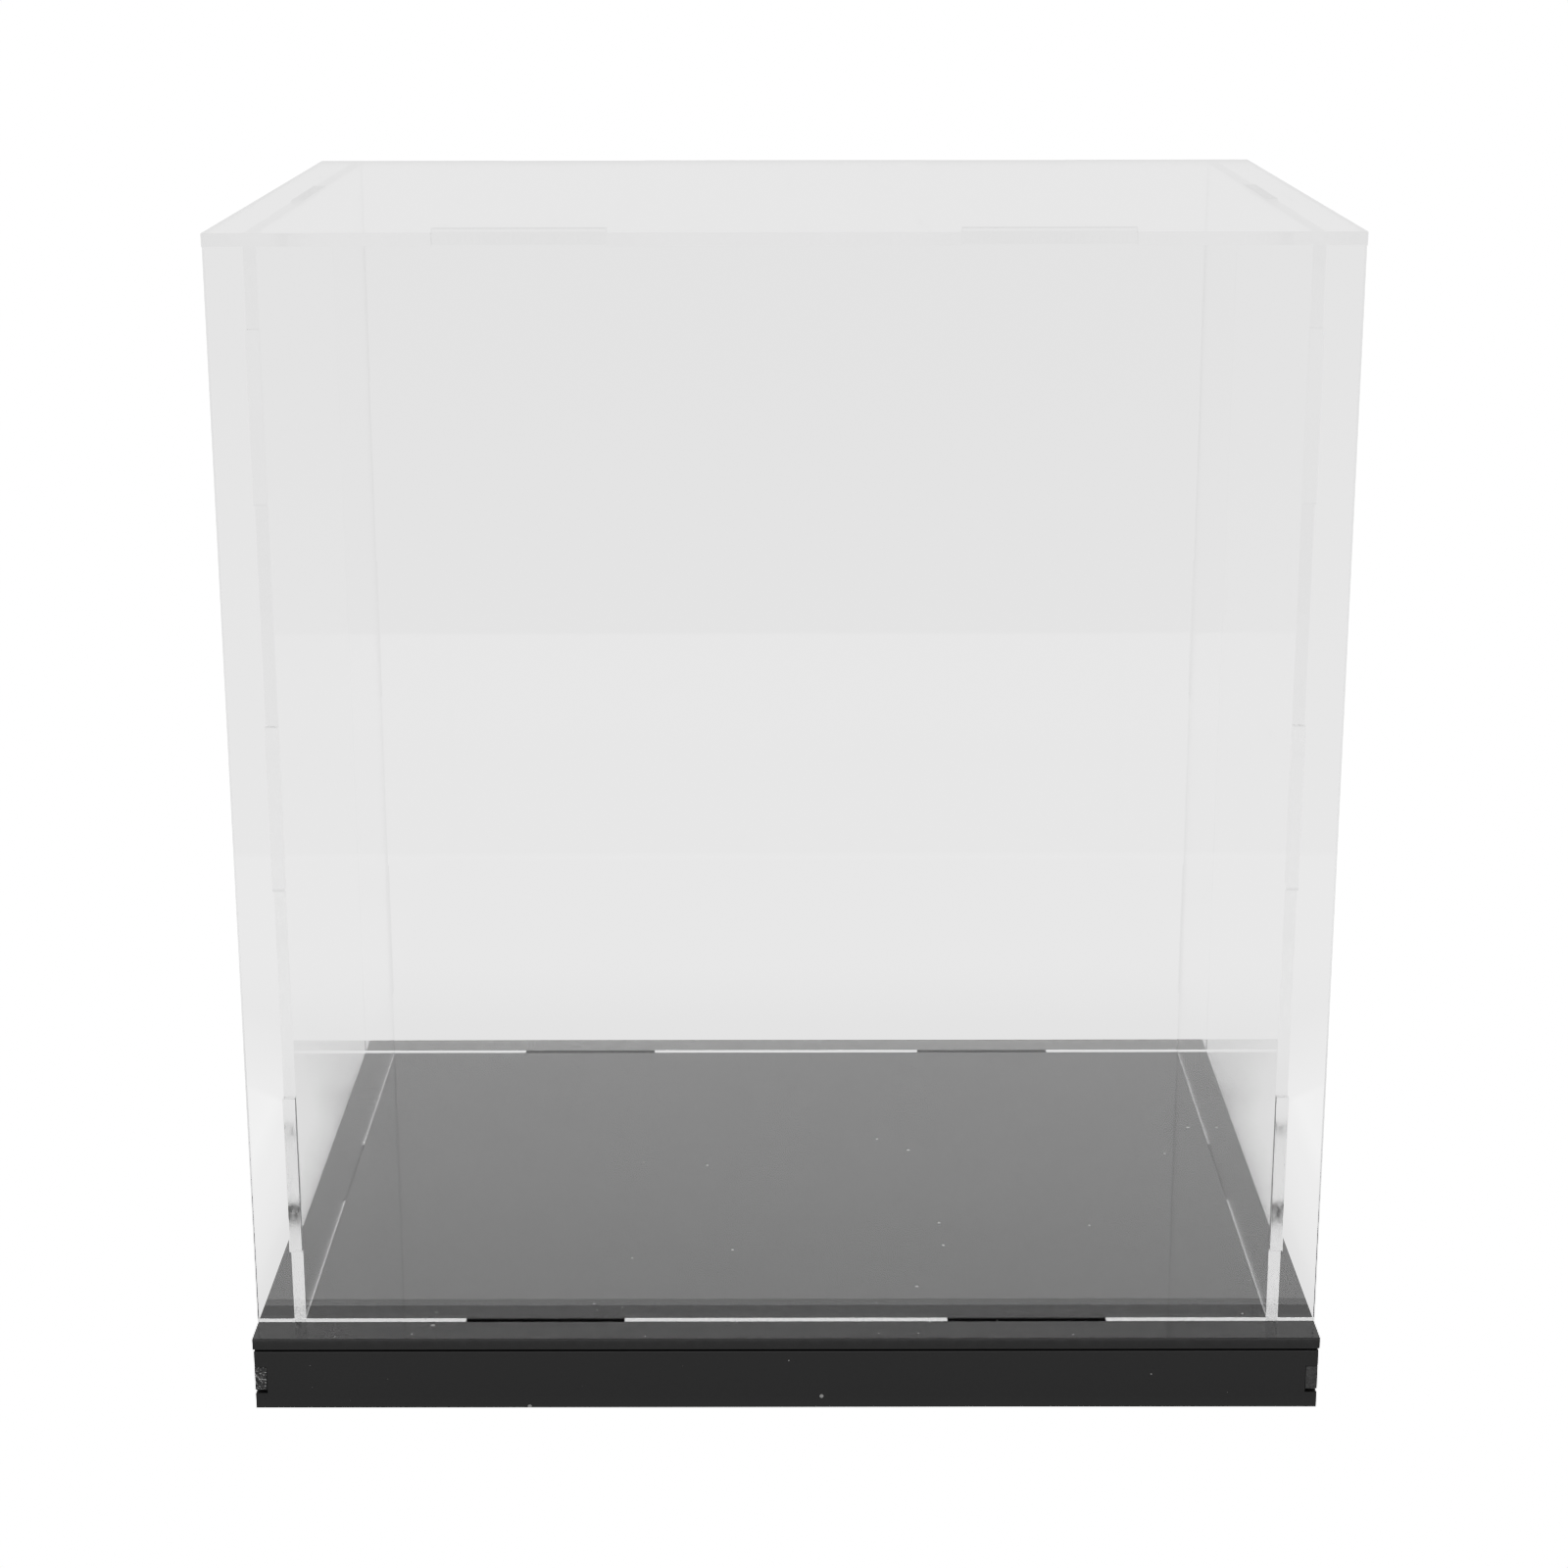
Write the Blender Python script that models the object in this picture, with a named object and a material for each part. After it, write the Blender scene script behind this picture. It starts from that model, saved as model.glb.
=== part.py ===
"""Acrylic display cube: a clear five-panel cover that stands on a black five-piece plinth.

Every piece is flat-cut from sheet of one thickness and meets its neighbours in tabs and slots.
The cover's bottom tabs drop into slots in the plinth's plate, so the whole cover lifts straight off.
Metres, +Z up, -Y the front. The origin is on the table, under the middle of the plinth.
"""

import math

import bpy

# Driving dimensions
SHEET = 0.0028            # thickness of every sheet
FIT_GAP = 0.0003          # clearance between faces that meet
BASE_WIDTH = 0.250        # plinth plate, also the width of the front, back and top panels
BASE_DEPTH = 0.200
BASE_HEIGHT = 0.0179      # table to the top of the plinth plate
WALL_SPACE = 0.2525       # top of the plinth plate to the underside of the top panel
PANEL_SETBACK = 0.0091    # plate edge to the outer face of the front or back panel
SIDE_INSET = 0.0084       # end of the front panel to the outer face of a side panel
TOP_LIP = 0.0008          # top panel's edge beyond the front and back panels' faces
SKIRT_INSET = 0.0002      # skirt faces behind the plate's edges

# Tabs
TAB_LENGTH = 0.0376       # tabs on the top and bottom edges
TAB_OFFSET = 0.057        # middle of the front and back panels' tabs, from the centre line
TAB_PROUD = 0.0008        # front panel's tabs above the top panel's surface; the back's are flush
CORNER_TAB_LENGTH = 0.0385
CORNER_TAB_PITCH = 0.089  # between neighbouring tabs on a side panel's upright edges
FINGER_HEIGHT = 0.0058    # skirt finger at each lower corner
FINGER_DROP = 0.0072      # top of the skirt to the middle of the finger
FINGER_SLACK = 0.0008     # air under the finger in its notch

# Heights and places that follow from them
SKIRT_HEIGHT = BASE_HEIGHT - SHEET - FIT_GAP
WALL_BOTTOM = BASE_HEIGHT + FIT_GAP
WALL_HEIGHT = WALL_SPACE - 2 * FIT_GAP
WALL_MIDDLE = WALL_BOTTOM + WALL_HEIGHT / 2
TOP_MIDDLE = BASE_HEIGHT + WALL_SPACE + SHEET / 2
PLATE_MIDDLE = BASE_HEIGHT - SHEET / 2
FRONT_MIDDLE = BASE_DEPTH / 2 - PANEL_SETBACK - SHEET / 2
SIDE_MIDDLE = BASE_WIDTH / 2 - SIDE_INSET - SHEET / 2
SKIRT_FRONT_MIDDLE = BASE_DEPTH / 2 - SKIRT_INSET - SHEET / 2
SKIRT_SIDE_MIDDLE = BASE_WIDTH / 2 - SKIRT_INSET - SHEET / 2
FINGER_CENTRE = SKIRT_HEIGHT / 2 - FINGER_DROP
NOTCH_HEIGHT = FIT_GAP + FINGER_HEIGHT + FINGER_SLACK
NOTCH_CENTRE = FINGER_CENTRE + (FIT_GAP - FINGER_SLACK) / 2
TAB_REACH = SHEET + FIT_GAP
SLOT_WIDTH = SHEET + 2 * FIT_GAP

# Turns that stand a sheet drawn in its own x, y plane on edge
LYING = (0, 0, 0)
FACING_FRONT = (math.pi / 2, 0, 0)
FACING_SIDE = (math.pi / 2, 0, math.pi / 2)

CENTRE_LINE = (0.0,)
TWO_TABS = (-TAB_OFFSET, TAB_OFFSET)
THREE_TABS = (-CORNER_TAB_PITCH, 0.0, CORNER_TAB_PITCH)


def clear_scene():
    """Remove what the file starts with."""
    for obj in list(bpy.data.objects):
        bpy.data.objects.remove(obj, do_unlink=True)


def acrylic(name, colour, roughness, transmission=0.0):
    """Principled material of one acrylic piece."""
    material = bpy.data.materials.new(name)
    material.use_nodes = True
    shader = material.node_tree.nodes["Principled BSDF"]
    shader.inputs["Base Color"].default_value = (*colour, 1.0)
    shader.inputs["Roughness"].default_value = roughness
    shader.inputs["Metallic"].default_value = 0.0
    shader.inputs["IOR"].default_value = 1.49
    shader.inputs["Transmission Weight"].default_value = transmission
    return material


def clear_acrylic(name):
    """Colourless polished sheet, seen faintly grey."""
    return acrylic(name + "_clear", (0.96, 0.97, 0.97), 0.02, transmission=1.0)


def black_acrylic(name):
    """Deep black gloss sheet."""
    return acrylic(name + "_black", (0.012, 0.012, 0.013), 0.08)


def edge(length, steps, size=0.0, reach=0.0):
    """Half an outline's edge: corners along +u from its start, with a tab or notch at each step.

    A point is (distance from the edge's middle, distance outward). A negative reach is a notch.
    """
    points = [(-length / 2, 0.0)]
    for centre in steps:
        start = centre - size / 2
        end = centre + size / 2
        points += [(start, 0.0), (start, reach), (end, reach), (end, 0.0)]
    return points


def outline(width, height, bottom, right, top, left):
    """Closed outline, counter-clockwise from the bottom left, from its four edges' points.

    Each edge is given along +u or +v; the top and left ones are walked backwards.
    """
    points = [(u, -height / 2 - out) for u, out in bottom]
    points += [(width / 2 + out, v) for v, out in right]
    points += [(-u, height / 2 + out) for u, out in top]
    points += [(-width / 2 - out, -v) for v, out in left]
    return points


def slot(centre_u, centre_v, size_u, size_v):
    """Rectangular opening in a sheet."""
    half_u = size_u / 2
    half_v = size_v / 2
    return [
        (centre_u - half_u, centre_v - half_v),
        (centre_u - half_u, centre_v + half_v),
        (centre_u + half_u, centre_v + half_v),
        (centre_u + half_u, centre_v - half_v),
    ]


def cut_sheet(name, points, slots, material, location, turn, collection):
    """One flat piece: a filled outline with its slots, as thick as the sheet."""
    curve = bpy.data.curves.new(name, "CURVE")
    curve.dimensions = "2D"
    curve.fill_mode = "BOTH"
    curve.extrude = SHEET / 2
    for loop in [points, *slots]:
        spline = curve.splines.new("POLY")
        spline.points.add(len(loop) - 1)
        for spline_point, (u, v) in zip(spline.points, loop):
            spline_point.co = (u, v, 0.0, 1.0)
        spline.use_cyclic_u = True
    curve.materials.append(material)
    piece = bpy.data.objects.new(name, curve)
    piece.location = location
    piece.rotation_euler = turn
    collection.objects.link(piece)
    return piece


def base_plate(collection):
    """Plinth's plate, with a slot for each tab under the cover."""
    plain_width = edge(BASE_WIDTH, ())
    plain_depth = edge(BASE_DEPTH, ())
    slots = []
    for side in (-1, 1):
        slots.append(slot(side * SIDE_MIDDLE, 0.0, SLOT_WIDTH, TAB_LENGTH + 2 * FIT_GAP))
        for centre in TWO_TABS:
            slots.append(slot(centre, side * FRONT_MIDDLE, TAB_LENGTH + 2 * FIT_GAP, SLOT_WIDTH))
    points = outline(BASE_WIDTH, BASE_DEPTH, plain_width, plain_depth, plain_width, plain_depth)
    location = (0.0, 0.0, PLATE_MIDDLE)
    return cut_sheet("base_plate", points, slots, black_acrylic("base_plate"), location, LYING, collection)


def cross_skirt(name, side, collection):
    """Front (side -1) or rear (side 1) skirt, notched at both ends for the side skirts' fingers."""
    width = BASE_WIDTH - 2 * SKIRT_INSET
    plain = edge(width, ())
    notch = SHEET + FIT_GAP
    right = edge(SKIRT_HEIGHT, (NOTCH_CENTRE,), NOTCH_HEIGHT, -notch)
    left = edge(SKIRT_HEIGHT, (-NOTCH_CENTRE,), NOTCH_HEIGHT, -notch)
    points = outline(width, SKIRT_HEIGHT, plain, right, plain, left)
    location = (0.0, side * SKIRT_FRONT_MIDDLE, SKIRT_HEIGHT / 2)
    return cut_sheet(name, points, [], black_acrylic(name), location, FACING_FRONT, collection)


def side_skirt(name, side, collection):
    """Left (side -1) or right (side 1) skirt, with a finger at each end."""
    depth = BASE_DEPTH - 2 * (SKIRT_INSET + SHEET + FIT_GAP)
    plain = edge(depth, ())
    right = edge(SKIRT_HEIGHT, (FINGER_CENTRE,), FINGER_HEIGHT, TAB_REACH)
    left = edge(SKIRT_HEIGHT, (-FINGER_CENTRE,), FINGER_HEIGHT, TAB_REACH)
    points = outline(depth, SKIRT_HEIGHT, plain, right, plain, left)
    location = (side * SKIRT_SIDE_MIDDLE, 0.0, SKIRT_HEIGHT / 2)
    return cut_sheet(name, points, [], black_acrylic(name), location, FACING_SIDE, collection)


def cross_panel(name, side, proud, collection):
    """Front (side -1) or back (side 1) panel: tabs above and below, slots for the side panels."""
    bottom = edge(BASE_WIDTH, TWO_TABS, TAB_LENGTH, TAB_REACH)
    top = edge(BASE_WIDTH, TWO_TABS, TAB_LENGTH, TAB_REACH + proud)
    upright = edge(WALL_HEIGHT, ())
    slots = []
    for end in (-1, 1):
        for centre in THREE_TABS:
            slots.append(slot(end * SIDE_MIDDLE, centre, SLOT_WIDTH, CORNER_TAB_LENGTH + 2 * FIT_GAP))
    points = outline(BASE_WIDTH, WALL_HEIGHT, bottom, upright, top, upright)
    location = (0.0, side * FRONT_MIDDLE, WALL_MIDDLE)
    return cut_sheet(name, points, slots, clear_acrylic(name), location, FACING_FRONT, collection)


def side_panel(name, side, collection):
    """Left (side -1) or right (side 1) panel, between the front and back panels."""
    depth = BASE_DEPTH - 2 * (PANEL_SETBACK + SHEET + FIT_GAP)
    level = edge(depth, CENTRE_LINE, TAB_LENGTH, TAB_REACH)
    upright = edge(WALL_HEIGHT, THREE_TABS, CORNER_TAB_LENGTH, TAB_REACH)
    points = outline(depth, WALL_HEIGHT, level, upright, level, upright)
    location = (side * SIDE_MIDDLE, 0.0, WALL_MIDDLE)
    return cut_sheet(name, points, [], clear_acrylic(name), location, FACING_SIDE, collection)


def top_panel(collection):
    """Top panel, notched front and back for the upright panels' tabs and slotted at the sides."""
    depth = BASE_DEPTH - 2 * (PANEL_SETBACK - TOP_LIP)
    notch = TOP_LIP + SHEET + FIT_GAP
    notched = edge(BASE_WIDTH, TWO_TABS, TAB_LENGTH + 2 * FIT_GAP, -notch)
    plain = edge(depth, ())
    slots = []
    for side in (-1, 1):
        slots.append(slot(side * SIDE_MIDDLE, 0.0, SLOT_WIDTH, TAB_LENGTH + 2 * FIT_GAP))
    points = outline(BASE_WIDTH, depth, notched, plain, notched, plain)
    location = (0.0, 0.0, TOP_MIDDLE)
    return cut_sheet("top_panel", points, slots, clear_acrylic("top_panel"), location, LYING, collection)


def main():
    clear_scene()
    collection = bpy.data.collections.new("acrylic_display_cube")
    bpy.context.scene.collection.children.link(collection)

    base_plate(collection)
    cross_skirt("base_front_skirt", -1, collection)
    cross_skirt("base_rear_skirt", 1, collection)
    side_skirt("base_left_skirt", -1, collection)
    side_skirt("base_right_skirt", 1, collection)

    lift = bpy.data.objects.new("cover_lift", None)
    lift.location = (0.0, 0.0, 0.0)
    collection.objects.link(lift)
    cover = [
        cross_panel("front_panel", -1, TAB_PROUD, collection),
        cross_panel("back_panel", 1, 0.0, collection),
        side_panel("left_panel", -1, collection),
        side_panel("right_panel", 1, collection),
        top_panel(collection),
    ]
    for panel in cover:
        panel.parent = lift


main()
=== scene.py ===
"""Looks of the acrylic display cube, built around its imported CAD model.

Each CAD sheet is replaced by a finer one with close-fitting joints and eased edges. Its faces are
polished and its cut edges are laser-cut. Metres, +Z up, -Y the front.
"""

import math

import bmesh
import bpy
from mathutils import Matrix, Vector


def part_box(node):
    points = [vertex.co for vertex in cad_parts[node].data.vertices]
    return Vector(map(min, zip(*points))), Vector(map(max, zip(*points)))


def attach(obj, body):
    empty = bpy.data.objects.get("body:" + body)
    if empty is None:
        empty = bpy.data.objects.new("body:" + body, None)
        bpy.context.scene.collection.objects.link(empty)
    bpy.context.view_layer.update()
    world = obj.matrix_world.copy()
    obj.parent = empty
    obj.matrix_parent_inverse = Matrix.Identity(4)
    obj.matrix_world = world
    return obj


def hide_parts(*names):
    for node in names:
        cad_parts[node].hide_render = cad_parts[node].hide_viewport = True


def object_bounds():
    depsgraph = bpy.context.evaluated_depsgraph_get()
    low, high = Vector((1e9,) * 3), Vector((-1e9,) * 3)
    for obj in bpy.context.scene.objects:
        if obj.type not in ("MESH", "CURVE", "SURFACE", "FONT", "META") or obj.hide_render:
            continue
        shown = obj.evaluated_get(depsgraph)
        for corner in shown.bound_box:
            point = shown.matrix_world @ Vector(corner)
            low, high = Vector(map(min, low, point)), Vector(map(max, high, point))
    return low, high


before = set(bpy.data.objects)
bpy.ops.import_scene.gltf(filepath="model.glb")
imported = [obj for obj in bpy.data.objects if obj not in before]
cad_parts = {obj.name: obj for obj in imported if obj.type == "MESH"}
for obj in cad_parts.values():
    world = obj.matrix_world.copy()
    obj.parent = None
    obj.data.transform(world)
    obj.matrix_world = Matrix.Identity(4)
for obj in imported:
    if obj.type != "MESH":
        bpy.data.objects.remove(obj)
cad_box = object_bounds()

X, Y, Z = 0, 1, 2
IOR = 1.49                # acrylic
CLOSE_FIT = 0.00002       # air left between sheets that meet
SKIRT_SEAM = 0.0005       # dark line between the plate and the skirts
CLEAR_EASE = 0.00005      # rounding of a clear sheet's outer rims
BLACK_EASE = 0.0002       # and of a black sheet's
EASE_SEGMENTS = 6
RIM_ANGLE = math.radians(60)    # a rim turns by more than this
FLAT_ANGLE = 0.001        # faces that turn by less than this are one
SAME_PLACE = 1e-5         # CAD corners closer than this are level
BLACK_TONE = (0.013, 0.013, 0.013, 1)
SPECK_SIZES = (0.02, 0.07)      # radius of dust specks, as a share of their spacing

# Camera, as fitted to the case's edges in the photo. Angles are in degrees.
SENSOR_WIDTH = 36
LENS = 72.10
VIEWPOINT = (0.0004, -0.7704, 0.3448)
CAMERA_TURN = 0.056
CAMERA_PITCH = 15.98      # downwards
CAMERA_ROLL = -0.096

# Overhead lamp
SOFTBOX_SIZE = 0.35
SOFTBOX_POWER = 6
SOFTBOX_PLACE = (-0.02, -0.05, 1.3)
MAX_BOUNCES = 96          # enough for light caught inside the clear sheets

# Studio brightness, where 1 is white paper correctly exposed
PAPER_WHITE = 2.2         # table and sweep as the camera sees them directly
TABLE_REACH = 12          # half the floor's width
TABLE_FRONT = -0.519      # where the lit table ends, for reflections
CORNER_BLEND = 0.03       # how softly its sides turn into its back
ROOM = 0.35               # the room past the table's front
ROOM_EDGE = -0.4          # y of a direction from where the sweep has given way to the room
# painted shade: the table inside the skirts is kept dark, both for the camera and in reflections
UNDER_BASE_SHADE = 0.01         # the table inside the skirts, which shows through the plate's slots
# brightness by distance from the base: painted shadow close to it, and in front a painted pool of light
# past a sharp shadow edge
BESIDE_BASE = ((0, 0.45), (0.010, 1.3), (0.018, 1.75), (0.026, 1.92), (0.05, 1.8))
BEHIND_BASE = ((0, 0.45), (0.010, 1.0), (0.050, 1.3), (0.12, 1.48), (1.5, 1.38))
IN_FRONT = ((0, 0.50), (0.006, 0.43), (0.0362, 0.40), (0.0366, 1.45), (0.12, 1.66), (0.215, 1.70),
            (0.26, 1.95))
# brightness by height of the direction
SWEEP = ((0.12, 1.42), (0.24, 0.95), (0.355, 0.90), (0.43, 0.78))
# share of the plate that dust covers, by distance from its back edge
DUST_FILM = ((-0.10, 0.0), (-0.04, 0.06), (0, 0.28))
# film curve past its straight part, as (brightness, shown)
SHOULDER = ((0.6, 0.6), (0.75, 0.705), (0.9, 0.738), (1.1, 0.758), (1.28, 0.777), (1.39, 0.803),
            (1.55, 0.822), (1.8, 0.845))


# ---------------------------------------------------------------- reading the frame

def span(node, axis):
    """Lowest and highest coordinate of a CAD node along one axis."""
    low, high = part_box(node)
    return low[axis], high[axis]


def tab_spans(node, edge_axis, along, at_high):
    """Where a CAD sheet's tabs stand along one of its edges, as (start, end) pairs."""
    corners = [vertex.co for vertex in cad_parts[node].data.vertices]
    limit = span(node, edge_axis)[1 if at_high else 0]
    at_edge = [co for co in corners if abs(co[edge_axis] - limit) < SAME_PLACE]
    places = sorted({round(co[along], 5) for co in at_edge})
    return list(zip(places[0::2], places[1::2]))


SHEET = span("top_panel", Z)[1] - span("top_panel", Z)[0]
PLATE_TOP = span("base_plate", Z)[1]
PLATE_BOTTOM = span("base_plate", Z)[0]
TOP_UNDERSIDE = span("top_panel", Z)[0]


# ---------------------------------------------------------------- shader helpers

class Shader:
    """A material's node tree, with short ways to add and join nodes."""

    def __init__(self, name):
        self.material = bpy.data.materials.new(name)
        self.material.use_nodes = True
        self.tree = self.material.node_tree
        self.tree.nodes.clear()
        self.output = self.add("ShaderNodeOutputMaterial")

    @classmethod
    def of_world(cls, world):
        """The same helpers on the world's nodes."""
        shader = cls.__new__(cls)
        shader.material = world
        shader.tree = world.node_tree
        shader.tree.nodes.clear()
        shader.output = shader.add("ShaderNodeOutputWorld")
        return shader

    def add(self, kind, **settings):
        """A new node with its settings."""
        node = self.tree.nodes.new(kind)
        for key, value in settings.items():
            setattr(node, key, value)
        return node

    def join(self, source, target):
        """Links an output to an input."""
        self.tree.links.new(source, target)

    def value(self, socket, value):
        """Sets or links an input."""
        if isinstance(value, bpy.types.NodeSocket):
            self.join(value, socket)
        else:
            socket.default_value = value

    def math(self, operation, a, b=0.0, clamp=False):
        node = self.add("ShaderNodeMath", operation=operation, use_clamp=clamp)
        self.value(node.inputs[0], a)
        self.value(node.inputs[1], b)
        return node.outputs[0]

    def mix(self, factor, a, b):
        """Blend of two values."""
        node = self.add("ShaderNodeMix", data_type="FLOAT")
        self.value(node.inputs[0], factor)
        self.value(node.inputs[2], a)
        self.value(node.inputs[3], b)
        return node.outputs[0]

    def place(self, scale=(1, 1, 1), turn=(0, 0, 0)):
        """Object coordinates in metres, scaled and turned."""
        where = self.add("ShaderNodeTexCoord").outputs["Object"]
        mapping = self.add("ShaderNodeMapping")
        self.join(where, mapping.inputs["Vector"])
        mapping.inputs["Scale"].default_value = scale
        mapping.inputs["Rotation"].default_value = turn
        return mapping.outputs[0]

    def noise(self, where, scale, detail=2.0, roughness=0.5):
        """Cloudy noise from 0 to 1."""
        node = self.add("ShaderNodeTexNoise")
        self.join(where, node.inputs["Vector"])
        node.inputs["Scale"].default_value = scale
        node.inputs["Detail"].default_value = detail
        node.inputs["Roughness"].default_value = roughness
        return node.outputs[0]

    def remap(self, value, low, high, to_low, to_high):
        """Turns the range low to high into to_low to to_high, and holds it at the ends."""
        node = self.add("ShaderNodeMapRange")
        self.value(node.inputs["Value"], value)
        node.inputs["From Min"].default_value = low
        node.inputs["From Max"].default_value = high
        node.inputs["To Min"].default_value = to_low
        node.inputs["To Max"].default_value = to_high
        return node.outputs[0]

    def ramp(self, value, stops):
        """Runs through (value, result) stops, straight between them."""
        result = stops[0][1]
        for (start, low), (end, high) in zip(stops, stops[1:]):
            result = self.math("ADD", result, self.remap(value, start, end, 0, high - low))
        return result

    def bump(self, height, strength, distance):
        """A normal for relief of the given height."""
        node = self.add("ShaderNodeBump")
        node.inputs["Strength"].default_value = strength
        node.inputs["Distance"].default_value = distance
        self.value(node.inputs["Height"], height)
        return node.outputs[0]

    def specks(self, where, scale, share):
        """1 on small round specks of dust, 0 elsewhere; share is how many cells hold one."""
        cells = self.add("ShaderNodeTexVoronoi", feature="F1")
        self.join(where, cells.inputs["Vector"])
        cells.inputs["Scale"].default_value = scale
        pick = self.add("ShaderNodeSeparateColor")
        self.join(cells.outputs["Color"], pick.inputs[0])
        chosen = self.math("LESS_THAN", pick.outputs[0], share)
        size = self.remap(pick.outputs[1], 0, 1, *SPECK_SIZES)
        inside = self.math("LESS_THAN", cells.outputs["Distance"], size)
        return self.math("MULTIPLY", chosen, inside)

    def scratches(self, turn, scale, share):
        """1 on fine hairlines that run roughly one way, 0 elsewhere."""
        where = self.place((1, 0.035, 1), turn)
        wander = self.noise(where, scale * 0.2, 1)
        node = self.add("ShaderNodeTexNoise")
        self.join(where, node.inputs["Vector"])
        node.inputs["Scale"].default_value = scale
        node.inputs["Detail"].default_value = 0
        line = self.math("ABSOLUTE", self.math("SUBTRACT", node.outputs[0], 0.5))
        thin = self.math("LESS_THAN", line, share)
        return self.math("MULTIPLY", thin, self.math("GREATER_THAN", wander, 0.57))

    def reflected(self):
        """1 for light that reached the camera by at least one reflection, 0 straight through glass."""
        path = self.add("ShaderNodeLightPath")
        bounces = self.math("ADD", path.outputs["Glossy Depth"], path.outputs["Diffuse Depth"])
        return self.math("GREATER_THAN", bounces, 0.5)

    def principled(self, **inputs):
        """A Principled surface; an input's underscores stand for spaces."""
        node = self.add("ShaderNodeBsdfPrincipled")
        for key, value in inputs.items():
            self.value(node.inputs[key.replace("_", " ")], value)
        return node.outputs[0]

    def mix_shaders(self, factor, a, b):
        """Shader a where factor is 0, b where it is 1."""
        node = self.add("ShaderNodeMixShader")
        self.value(node.inputs[0], factor)
        self.join(a, node.inputs[1])
        self.join(b, node.inputs[2])
        return node.outputs[0]

    def finish(self, surface):
        """Joins the surface to the output."""
        self.join(surface, self.output.inputs["Surface"])
        return self.material


# ---------------------------------------------------------------- materials

def clear_face():
    """Polished face of clear cast sheet: faint hairlines, smears and a few specks of dust."""
    s = Shader("clear_acrylic_face")
    where = s.place()
    smear = s.remap(s.noise(where, 26, 3), 0.55, 0.8, 0.0, 0.01)
    hairs = s.scratches((0.3, 0.2, 0.5), 900, 0.002)
    waviness = s.noise(where, 14, 1)
    roughness = s.math("ADD", smear, s.math("MULTIPLY", hairs, 0.12))
    sheet = s.principled(
        Base_Color=(0.997, 0.997, 0.997, 1), Roughness=roughness, IOR=IOR, Transmission_Weight=1.0,
        Normal=s.bump(waviness, 0.008, 0.001))
    dust = s.principled(Base_Color=(0.75, 0.74, 0.72, 1), Roughness=0.9)
    return s.finish(s.mix_shaders(s.math("MULTIPLY", s.specks(where, 240, 0.04), 0.12), sheet, dust))


def clear_edge():
    """Laser-cut edge of clear sheet: nearly polished, with fine streaks and a trace of frost."""
    s = Shader("clear_acrylic_cut_edge")
    streak = s.noise(s.place((1, 1, 0.25)), 1500, 3)
    roughness = s.remap(streak, 0.3, 0.7, 0.1, 0.26)
    sheet = s.principled(
        Base_Color=(0.98, 0.98, 0.98, 1), Roughness=roughness, IOR=IOR, Transmission_Weight=1.0)
    frost = s.principled(Base_Color=(0.97, 0.97, 0.97, 1), Roughness=0.6)
    return s.finish(s.mix_shaders(s.remap(streak, 0.3, 0.7, 0.02, 0.1), sheet, frost))


def black_face():
    """Deep black gloss face: hairlines, specks, and a film of dust where the cover doesn't shield it."""
    s = Shader("black_acrylic_face")
    where = s.place()
    hairs = s.scratches((0, 0, 0.6), 700, 0.0016)
    more_hairs = s.scratches((0, 0, -0.9), 500, 0.0012)
    scratch = s.math("MAXIMUM", hairs, more_hairs)
    smear = s.remap(s.noise(where, 30, 3), 0.5, 0.8, 0.0, 0.008)
    roughness = s.math("ADD", s.math("ADD", 0.008, smear), s.math("MULTIPLY", scratch, 0.1))
    body = s.principled(
        Base_Color=BLACK_TONE, Roughness=roughness, IOR=IOR,
        Normal=s.bump(s.noise(where, 20, 1), 0.006, 0.001))
    axes = s.add("ShaderNodeSeparateXYZ")
    s.join(where, axes.inputs[0])
    past_sides = s.math("SUBTRACT", s.math("ABSOLUTE", axes.outputs[0]), span("right_panel", X)[1])
    past_back = s.math("SUBTRACT", axes.outputs[1], span("back_panel", Y)[1])
    outside = s.math("GREATER_THAN", s.math("MAXIMUM", past_sides, past_back), 0)
    film = s.ramp(s.math("SUBTRACT", axes.outputs[1], cad_box[1][1]), DUST_FILM)
    fluff = s.remap(s.noise(where, 400, 4, 0.7), 0.3, 0.7, 0.7, 1.2)
    on_top = s.math("GREATER_THAN", axes.outputs[2], PLATE_BOTTOM + SHEET / 2)
    film = s.math("MULTIPLY", s.math("MULTIPLY", film, outside), s.math("MULTIPLY", fluff, on_top))
    fine = s.math("MULTIPLY", s.specks(where, 330, 0.3), 0.35)
    coarse = s.math("MULTIPLY", s.specks(where, 130, 0.3), 0.6)
    dust = s.principled(Base_Color=(0.75, 0.745, 0.735, 1), Roughness=0.95)
    share = s.math("MAXIMUM", film, s.math("MAXIMUM", fine, coarse))
    return s.finish(s.mix_shaders(share, body, dust))


def black_edge():
    """Laser-cut edge of black sheet, nearly as glossy as its faces."""
    s = Shader("black_acrylic_cut_edge")
    where = s.place()
    ripple = s.noise(where, 2200, 2)
    roughness = s.remap(s.noise(where, 350, 2), 0.3, 0.7, 0.05, 0.1)
    return s.finish(s.principled(
        Base_Color=BLACK_TONE, Roughness=roughness, IOR=IOR, Normal=s.bump(ripple, 0.1, 0.00003)))


def sawn_edge(name, tone, torn):
    """Sawn edge of black sheet, as on the skirts' fingers: its own tone, and how pale its flecks are."""
    s = Shader(name)
    where = s.place()
    grain = s.noise(where, 2400, 3, 0.7)
    fleck = s.remap(s.noise(where, 3000, 2, 0.6), 0.57, 0.63, 0.0, torn)
    shade = s.math("ADD", s.remap(grain, 0.35, 0.7, tone * 0.5, tone * 1.5), fleck)
    colour = s.add("ShaderNodeCombineColor")
    for channel in colour.inputs:
        s.join(shade, channel)
    return s.finish(s.principled(
        Base_Color=colour.outputs[0], Roughness=0.7, IOR=IOR, Normal=s.bump(grain, torn, 0.0002)))


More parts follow.
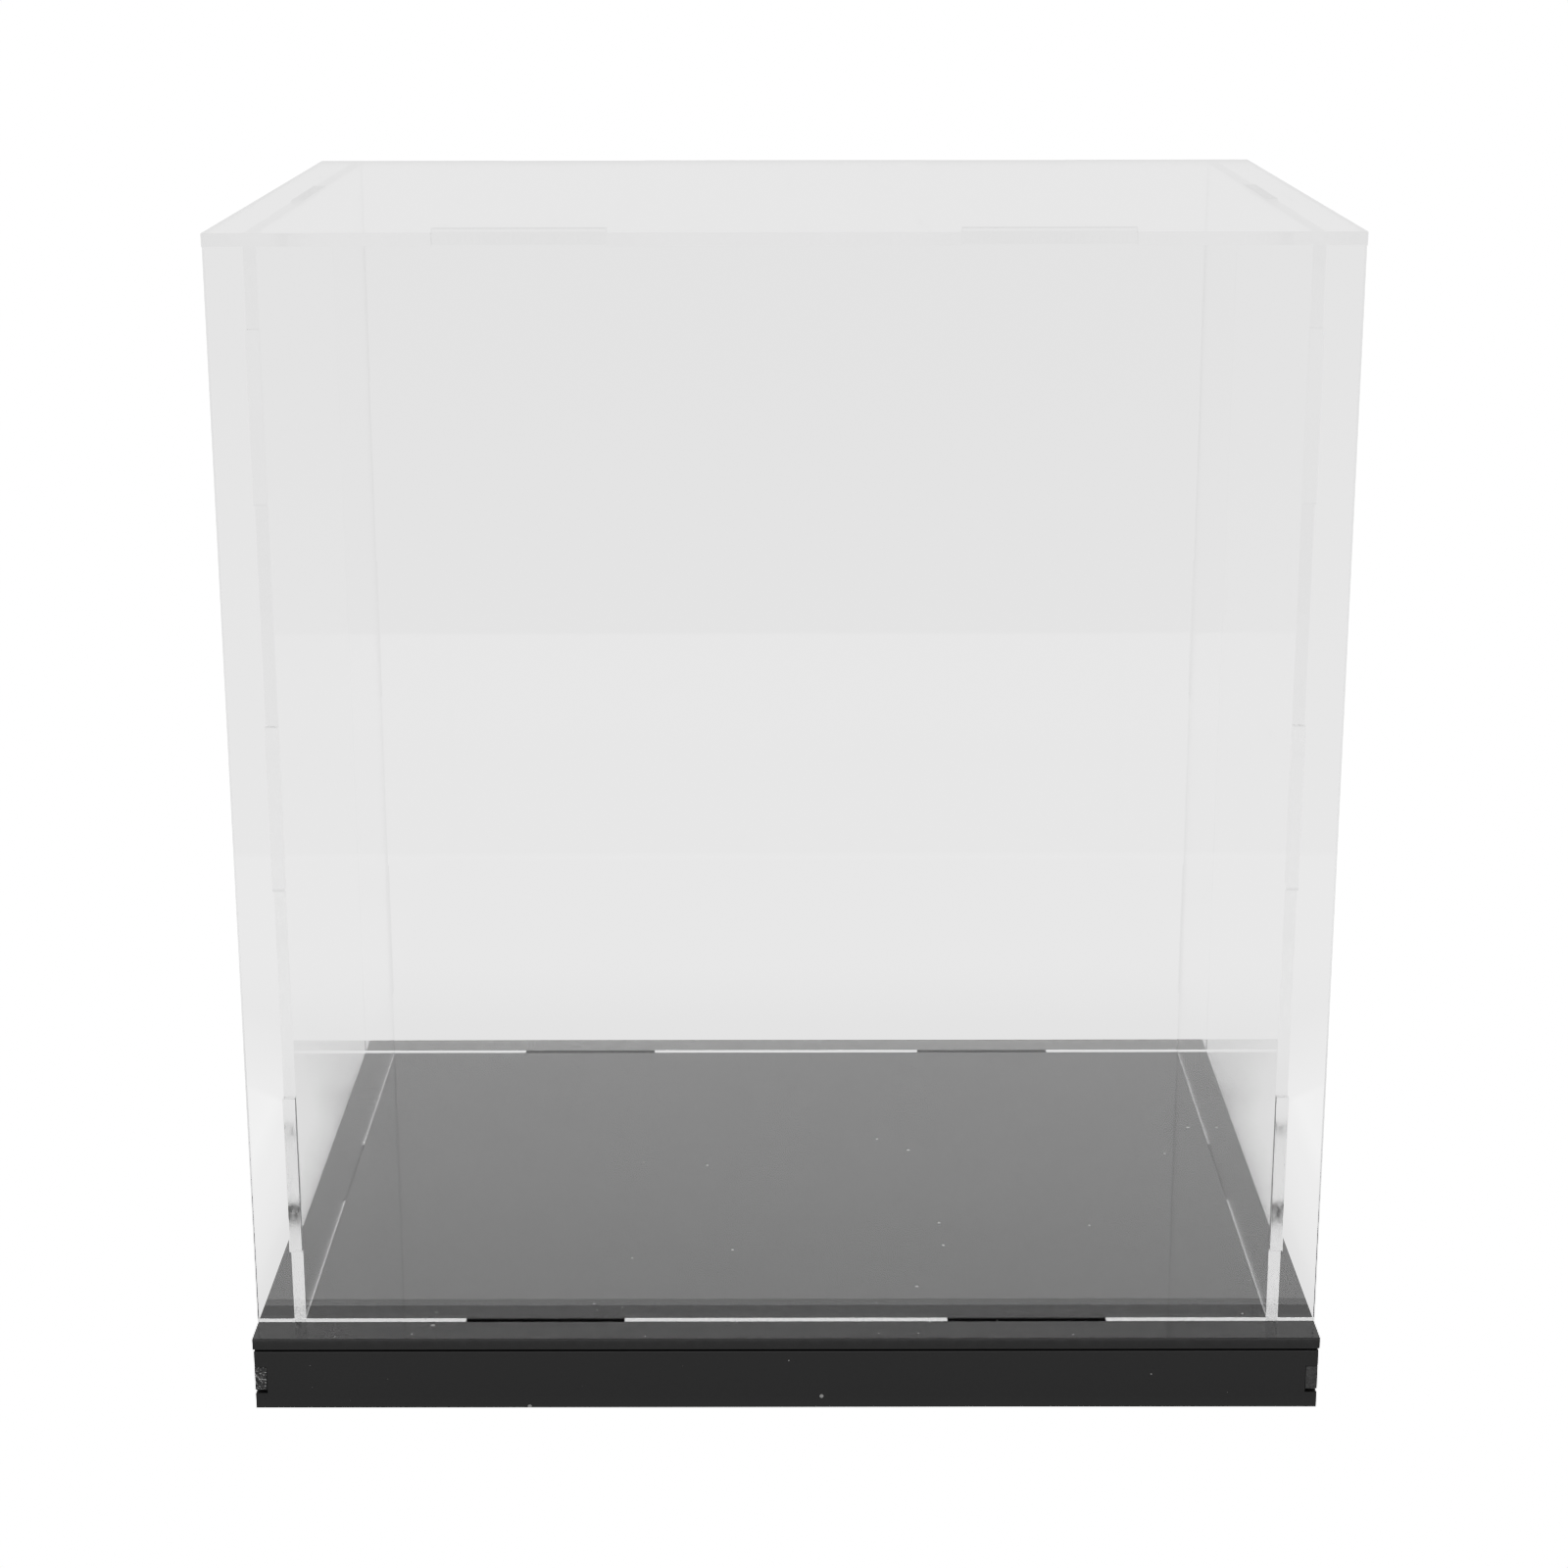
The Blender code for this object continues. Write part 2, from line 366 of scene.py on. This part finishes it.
# ---------------------------------------------------------------- sheets

def walk(start, end, tabs, reach):
    """Points along one edge from start to end, with each tab standing out by reach.

    A point is (distance along, distance out). The last corner belongs to the next edge.
    """
    forward = end > start
    points = [(start, 0.0)]
    for low, high in sorted(tabs, reverse=not forward):
        near, far = (low, high) if forward else (high, low)
        points += [(near, 0.0), (near, reach), (far, reach), (far, 0.0)]
    return points


def outline(low_u, high_u, low_v, high_v, tabs):
    """Closed counter-clockwise outline. tabs maps an edge's name to (spans, reach)."""
    def edge(name, start, end):
        spans, reach = tabs.get(name, ((), 0.0))
        return walk(start, end, spans, reach)

    points = [(u, low_v - out) for u, out in edge("bottom", low_u, high_u)]
    points += [(high_u + out, v) for v, out in edge("right", low_v, high_v)]
    points += [(u, high_v + out) for u, out in edge("top", high_u, low_u)]
    points += [(low_u - out, v) for v, out in edge("left", high_v, low_v)]
    return points


def slot(low_u, high_u, low_v, high_v):
    """Clockwise rectangle, grown by the close fit."""
    a, b = low_u - CLOSE_FIT, high_u + CLOSE_FIT
    c, d = low_v - CLOSE_FIT, high_v + CLOSE_FIT
    return [(a, c), (a, d), (b, d), (b, c)]


def grown(spans):
    """Spans lengthened by the close fit at both ends."""
    return [(low - CLOSE_FIT, high + CLOSE_FIT) for low, high in spans]


# how an outline's u, v and thickness lie in the row frame
PLANES = {
    "lying": ((1, 0, 0), (0, 1, 0), (0, 0, 1)),
    "facing front": ((1, 0, 0), (0, 0, 1), (0, -1, 0)),
    "facing side": ((0, 1, 0), (0, 0, 1), (1, 0, 0)),
}


def inside(u, v, loop):
    """Whether a point lies inside a closed loop of level and upright lines."""
    crossings = 0
    for (start_u, start_v), (end_u, end_v) in zip(loop, loop[1:] + loop[:1]):
        if (start_v > v) != (end_v > v) and start_u > u:
            crossings += 1
    return crossings % 2 == 1


def flat_faces(bm, loops):
    """Fills an outline, less its slots, with faces between the lines through its corners."""
    across = sorted({round(u, 6) for loop in loops for u, _ in loop})
    upward = sorted({round(v, 6) for loop in loops for _, v in loop})
    corners = {}
    for low_u, high_u in zip(across, across[1:]):
        for low_v, high_v in zip(upward, upward[1:]):
            centre = ((low_u + high_u) / 2, (low_v + high_v) / 2)
            if sum(inside(*centre, loop) for loop in loops) != 1:
                continue
            ring = ((low_u, low_v), (high_u, low_v), (high_u, high_v), (low_u, high_v))
            for place in ring:
                if place not in corners:
                    corners[place] = bm.verts.new((*place, -SHEET / 2))
            bm.faces.new([corners[place] for place in ring])
    bmesh.ops.dissolve_limit(bm, angle_limit=FLAT_ANGLE, verts=bm.verts, edges=bm.edges)


def cut_sheet(name, node, plane, points, slots, middle, materials, ease_width):
    """One sheet, cut to an outline with slots, its rims eased, in place of a CAD node."""
    bm = bmesh.new()
    flat_faces(bm, [points, *slots])
    raised = bmesh.ops.extrude_face_region(bm, geom=bm.faces[:])["geom"]
    top = [item for item in raised if isinstance(item, bmesh.types.BMVert)]
    bmesh.ops.translate(bm, verts=top, vec=(0, 0, SHEET))
    bmesh.ops.recalc_face_normals(bm, faces=bm.faces)
    for face in bm.faces:
        face.material_index = 0 if abs(face.normal.z) > 0.5 else 1
    eased = bm.edges.layers.float.new("bevel_weight_edge")
    for edge in bm.edges:
        if edge.is_convex and edge.calc_face_angle(0) > RIM_ANGLE:
            edge[eased] = 1.0
    along_u, along_v, through = (Vector(axis) for axis in PLANES[plane])
    for vertex in bm.verts:
        u, v, w = vertex.co
        vertex.co = along_u * u + along_v * v + through * w + Vector(middle)
    mesh = bpy.data.meshes.new(name)
    bm.to_mesh(mesh)
    bm.free()
    for material in materials:
        mesh.materials.append(material)

    piece = bpy.data.objects.new(name, mesh)
    bpy.context.scene.collection.objects.link(piece)
    ease = piece.modifiers.new("eased_edges", "BEVEL")
    ease.width = ease_width
    ease.segments = EASE_SEGMENTS
    ease.limit_method = "WEIGHT"
    ease.material = 1
    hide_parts(node)
    return piece


def half_way(node, axis):
    """Middle of a CAD node along one axis."""
    low, high = span(node, axis)
    return (low + high) / 2


def clear_sheet(*args):
    """A clear sheet, which rides with the cover."""
    piece = cut_sheet(*args, CLEAR, CLEAR_EASE)
    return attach(piece, "cover")


def black_sheet(*args, materials=None):
    """A black sheet, which stays with the base."""
    piece = cut_sheet(*args, materials or BLACK, BLACK_EASE)
    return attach(piece, "base")


def upright_slots():
    """Slots in the front and back panels for the side panels' tabs, as outline loops."""
    loops = []
    for node in ("left_panel", "right_panel"):
        low_u, high_u = span(node, X)
        for low_v, high_v in tab_spans(node, Y, Z, at_high=False):
            loops.append(slot(low_u, high_u, low_v, high_v))
    return loops


def level_slots(nodes):
    """Slots in a lying sheet for the bottom tabs of the upright panels."""
    loops = []
    for node in nodes:
        if node in ("left_panel", "right_panel"):
            low_u, high_u = span(node, X)
            loops += [slot(low_u, high_u, a, b) for a, b in tab_spans(node, Z, Y, at_high=False)]
        else:
            low_v, high_v = span(node, Y)
            loops += [slot(a, b, low_v, high_v) for a, b in tab_spans(node, Z, X, at_high=False)]
    return loops


def cross_panel(node):
    """Front or back panel."""
    low_u, high_u = span(node, X)
    low_v = PLATE_TOP + CLOSE_FIT
    high_v = TOP_UNDERSIDE - CLOSE_FIT
    tabs = {
        "bottom": (tab_spans(node, Z, X, at_high=False), low_v - PLATE_BOTTOM),
        "top": (tab_spans(node, Z, X, at_high=True), span(node, Z)[1] - high_v),
    }
    points = outline(low_u, high_u, low_v, high_v, tabs)
    middle = (0, half_way(node, Y), 0)
    return clear_sheet(node + "_sheet", node, "facing front", points, upright_slots(), middle)


def side_panel(node):
    """Left or right panel, between the front and back panels."""
    low_u = span("front_panel", Y)[1] + CLOSE_FIT
    high_u = span("back_panel", Y)[0] - CLOSE_FIT
    low_v = PLATE_TOP + CLOSE_FIT
    high_v = TOP_UNDERSIDE - CLOSE_FIT
    upright_reach = SHEET + CLOSE_FIT
    tabs = {
        "bottom": (tab_spans(node, Z, Y, at_high=False), low_v - PLATE_BOTTOM),
        "top": (tab_spans(node, Z, Y, at_high=True), span(node, Z)[1] - high_v),
        "left": (tab_spans(node, Y, Z, at_high=False), upright_reach),
        "right": (tab_spans(node, Y, Z, at_high=True), upright_reach),
    }
    points = outline(low_u, high_u, low_v, high_v, tabs)
    middle = (half_way(node, X), 0, 0)
    return clear_sheet(node + "_sheet", node, "facing side", points, [], middle)


def top_panel():
    """Top panel, notched at the front and back, slotted at the sides."""
    low_u, high_u = span("top_panel", X)
    low_v, high_v = span("top_panel", Y)
    front_notch = span("front_panel", Y)[1] + CLOSE_FIT - low_v
    back_notch = high_v - span("back_panel", Y)[0] + CLOSE_FIT
    tabs = {
        "bottom": (grown(tab_spans("front_panel", Z, X, at_high=True)), -front_notch),
        "top": (grown(tab_spans("back_panel", Z, X, at_high=True)), -back_notch),
    }
    points = outline(low_u, high_u, low_v, high_v, tabs)
    middle = (0, 0, half_way("top_panel", Z))
    slots = level_slots(("left_panel", "right_panel"))
    return clear_sheet("top_panel_sheet", "top_panel", "lying", points, slots, middle)


def base_plate():
    """Base plate with its six slots."""
    points = outline(*span("base_plate", X), *span("base_plate", Y), {})
    middle = (0, 0, half_way("base_plate", Z))
    slots = level_slots(("left_panel", "right_panel", "front_panel", "back_panel"))
    return black_sheet("base_plate_sheet", "base_plate", "lying", points, slots, middle)


def cross_skirt(node):
    """Front or rear skirt, notched for the side skirts' fingers."""
    low_u, high_u = span(node, X)
    low_v, high_v = span(node, Z)
    below_notch, _ = tab_spans(node, X, Z, at_high=True)
    fingers = tab_spans("base_left_skirt", Y, Z, at_high=True)
    notches = [(below_notch[1], fingers[0][1] + CLOSE_FIT)]
    depth = span("base_left_skirt", X)[1] + CLOSE_FIT - low_u
    tabs = {"left": (notches, -depth), "right": (notches, -depth)}
    points = outline(low_u, high_u, low_v, PLATE_BOTTOM - SKIRT_SEAM, tabs)
    middle = (0, half_way(node, Y), 0)
    return black_sheet(node + "_sheet", node, "facing front", points, [], middle)


def side_skirt(node, edge_material):
    """Left or right skirt, with a finger at each end, which show its sawn edge."""
    low_u = span("base_front_skirt", Y)[1] + CLOSE_FIT
    high_u = span("base_rear_skirt", Y)[0] - CLOSE_FIT
    low_v, high_v = span(node, Z)
    fingers = tab_spans(node, Y, Z, at_high=True)
    reach = SHEET + CLOSE_FIT
    tabs = {"left": (fingers, reach), "right": (fingers, reach)}
    points = outline(low_u, high_u, low_v, PLATE_BOTTOM - SKIRT_SEAM, tabs)
    middle = (half_way(node, X), 0, 0)
    return black_sheet(node + "_sheet", node, "facing side", points, [], middle,
                       materials=(BLACK[0], edge_material))


CLEAR = (clear_face(), clear_edge())
BLACK = (black_face(), black_edge())

base_plate()
for skirt in ("base_front_skirt", "base_rear_skirt"):
    cross_skirt(skirt)
side_skirt("base_left_skirt", sawn_edge("black_acrylic_torn_edge", 0.03, 0.5))
side_skirt("base_right_skirt", sawn_edge("black_acrylic_sawn_edge", 0.062, 0.02))
for panel in ("front_panel", "back_panel"):
    cross_panel(panel)
for panel in ("left_panel", "right_panel"):
    side_panel(panel)
top_panel()


# ---------------------------------------------------------------- studio

def studio_floor():
    """White table, overexposed, glowing with painted light and shade: dimmer where the base shades it,
    dark inside the skirts, and a brighter painted pool further out in front.

    Its front half, and the dark past its front edge, count in reflections only.
    """
    mesh = bpy.data.meshes.new("floor")
    bm = bmesh.new()
    bmesh.ops.create_grid(bm, x_segments=1, y_segments=1, size=TABLE_REACH)
    bm.to_mesh(mesh)
    bm.free()
    floor = bpy.data.objects.new("floor", mesh)
    bpy.context.scene.collection.objects.link(floor)
    s = Shader("white_table")
    where = s.add("ShaderNodeSeparateXYZ")
    s.join(s.place(), where.inputs[0])
    x, y = where.outputs[0], where.outputs[1]
    low, high = cad_box
    past_side = s.math("SUBTRACT", s.math("ABSOLUTE", x), high[0])
    past_back = s.math("SUBTRACT", s.math("ABSOLUTE", y), high[1])
    past_front = s.math("SUBTRACT", low[1], y)
    # painted shadow near the base that fades with distance; in front, reflections see a sharp shadow
    # edge and then a painted pool of light
    at_side = s.remap(s.math("SUBTRACT", past_side, past_back), -CORNER_BLEND, CORNER_BLEND, 0, 1)
    glow = s.mix(at_side, s.ramp(past_back, BEHIND_BASE), s.ramp(past_side, BESIDE_BASE))
    reflected = s.reflected()
    in_front = s.math("MULTIPLY", s.math("GREATER_THAN", past_front, 0), reflected)
    past_table = s.math("MULTIPLY", s.math("LESS_THAN", y, TABLE_FRONT), reflected)
    glow = s.mix(in_front, glow, s.ramp(past_front, IN_FRONT))
    glow = s.mix(past_table, glow, ROOM)
    # painted shade: the table inside the skirts is dark, for the camera too
    enclosed = s.math("LESS_THAN", s.math("MAXIMUM", past_side, past_back), -SHEET)
    light = s.add("ShaderNodeEmission")
    s.join(s.mix(enclosed, glow, UNDER_BASE_SHADE), light.inputs["Strength"])
    seen = s.add("ShaderNodeEmission")
    s.join(s.mix(enclosed, PAPER_WHITE, UNDER_BASE_SHADE), seen.inputs["Strength"])
    camera_ray = s.add("ShaderNodeLightPath").outputs["Is Camera Ray"]
    mesh.materials.append(s.finish(s.mix_shaders(camera_ray, light.outputs[0], seen.outputs[0])))


def studio_world():
    """White sweep behind and around, softer higher up.

    On the camera's side is a dim room, which counts in reflections only.
    """
    world = bpy.data.worlds.new("studio")
    bpy.context.scene.world = world
    world.use_nodes = True
    s = Shader.of_world(world)
    axes = s.add("ShaderNodeSeparateXYZ")
    s.join(s.add("ShaderNodeTexCoord").outputs["Generated"], axes.inputs[0])
    sweep = s.ramp(axes.outputs[2], SWEEP)
    front = s.math("MULTIPLY", s.remap(axes.outputs[1], 0.0, ROOM_EDGE, 0, 1), s.reflected())
    around = s.add("ShaderNodeBackground")
    s.join(s.mix(front, sweep, ROOM), around.inputs["Strength"])
    around.inputs["Color"].default_value = (1, 1, 1, 1)
    seen = s.add("ShaderNodeBackground")
    seen.inputs["Strength"].default_value = PAPER_WHITE
    seen.inputs["Color"].default_value = (1, 1, 1, 1)
    camera_ray = s.add("ShaderNodeLightPath").outputs["Is Camera Ray"]
    s.finish(s.mix_shaders(camera_ray, around.outputs[0], seen.outputs[0]))


def overhead_softbox():
    """Square studio light aimed at the middle of the base."""
    data = bpy.data.lights.new("overhead_softbox", "AREA")
    data.shape = "SQUARE"
    data.size = SOFTBOX_SIZE
    data.energy = SOFTBOX_POWER
    lamp = bpy.data.objects.new("overhead_softbox", data)
    lamp.location = SOFTBOX_PLACE
    lamp.rotation_euler = (-Vector(SOFTBOX_PLACE)).to_track_quat("-Z", "Y").to_euler()
    bpy.context.scene.collection.objects.link(lamp)


def camera():
    """The viewing angle: in front, a little above the top of the case, 72 mm lens."""
    data = bpy.data.cameras.new("camera")
    data.sensor_width = SENSOR_WIDTH
    data.lens = LENS
    data.clip_start = 0.01
    view = bpy.data.objects.new("camera", data)
    view.location = VIEWPOINT
    aim = Matrix.Rotation(math.radians(CAMERA_TURN), 3, "Z")
    tilt = Matrix.Rotation(math.radians(90 - CAMERA_PITCH), 3, "X")
    roll = Matrix.Rotation(math.radians(CAMERA_ROLL), 3, "Z")
    view.rotation_euler = (aim @ tilt @ roll).to_euler()
    bpy.context.scene.collection.objects.link(view)
    bpy.context.scene.camera = view


def film_curve():
    """Straight up to mid tones, then a shoulder that holds back the overexposed white."""
    view = bpy.context.scene.view_settings
    view.view_transform = "Standard"
    view.use_curve_mapping = True
    mapping = view.curve_mapping
    mapping.black_level = (0, 0, 0)
    mapping.white_level = (PAPER_WHITE, PAPER_WHITE, PAPER_WHITE)
    curve = mapping.curves[3]
    for bright, shown in SHOULDER:
        curve.points.new(bright / PAPER_WHITE, shown)
    for point in curve.points:
        point.handle_type = "VECTOR"
    mapping.update()


studio_floor()
studio_world()
overhead_softbox()
camera()

scene = bpy.context.scene
film_curve()
scene.cycles.max_bounces = MAX_BOUNCES
scene.cycles.glossy_bounces = MAX_BOUNCES
scene.cycles.transmission_bounces = MAX_BOUNCES
